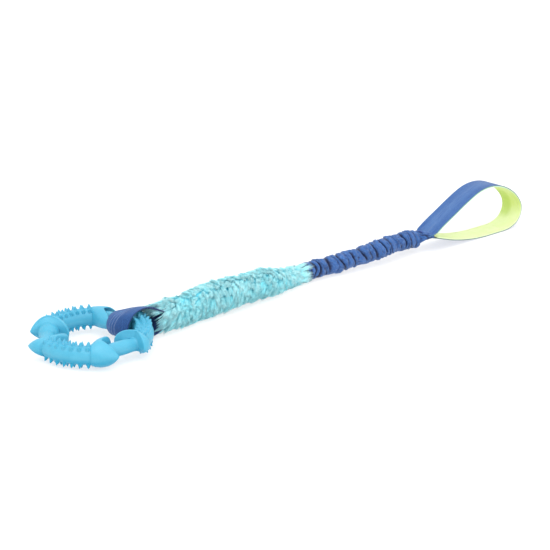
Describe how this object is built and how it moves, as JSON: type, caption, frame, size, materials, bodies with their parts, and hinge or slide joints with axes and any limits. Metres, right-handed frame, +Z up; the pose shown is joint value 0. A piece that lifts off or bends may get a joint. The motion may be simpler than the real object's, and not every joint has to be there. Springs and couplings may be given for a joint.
{
  "type": "bungee tug toy",
  "caption": "Dog tug toy: soft spiked chew ring on a webbing loop, faux-fur sleeve, gathered bungee and a lined hand loop.",
  "frame": {"origin": "middle of the footprint, on the surface that the toy lies on", "axes": "+X from the chew ring to the hand loop, +Y to the left, +Z up"},
  "size_m": [0.6894, 0.1228, 0.0619],
  "materials": {
    "ring_rubber": "satin moulded soft rubber",
    "webbing": "ribbed woven webbing",
    "fur": "long soft pile",
    "nylon": "gathered woven nylon, slight sheen",
    "elastic": "braided elastic cord",
    "thread_blue": "sewing thread",
    "thread_aqua": "sewing thread",
    "thread_mint": "sewing thread",
    "lining": "soft matt lining"
  },
  "bodies": {
    "plush": {"plush_sleeve": "fur", "lead_webbing": "webbing", "front_sleeve_stitch": "thread_aqua", "rear_sleeve_stitch": "thread_aqua"},
    "strap": {"ring_strap": "webbing", "strap_bartack": "thread_blue"},
    "ring": {"chew_ring": "ring_rubber"},
    "bungee": {"bungee_sleeve": "nylon", "bungee_core": "elastic", "front_core_stitch": "thread_blue"},
    "neck": {"neck_wrap": "nylon", "rear_core_stitch": "thread_blue"},
    "handle": {"handle_webbing": "webbing", "handle_lining": "lining", "handle_seam_near": "thread_mint", "handle_seam_far": "thread_mint", "handle_bartack": "thread_blue"}
  },
  "joints": [
    {"name": "strap_flex", "type": "hinge", "parent": "plush", "child": "strap", "pos_m": [-0.19829, -0.00678, 0.0172], "axis": [0, 1, 0], "range_deg": [-60, 60]},
    {"name": "ring_swing", "type": "hinge", "parent": "strap", "child": "ring", "pos_m": [-0.2421, 0.01945, 0.01565], "axis": [-0.4131, 0.9107, 0], "range_deg": [-95, 95], "deforming": ["ring_strap"]},
    {"name": "bungee_bend", "type": "hinge", "parent": "plush", "child": "bungee", "pos_m": [-0.00029, 0.01122, 0.0115], "axis": [0, 0, 1], "range_deg": [-50, 50]},
    {"name": "bungee_stretch", "type": "slide", "parent": "bungee", "child": "neck", "axis": [1, 0, 0], "range_m": [0, 0.15], "stiffness_N_per_m": 250, "deforming": ["bungee_sleeve", "bungee_core"]},
    {"name": "handle_flex", "type": "hinge", "parent": "neck", "child": "handle", "pos_m": [0.19011, 0.00222, 0.0192], "axis": [0, -1, 0], "range_deg": [-60, 60]}
  ]
}
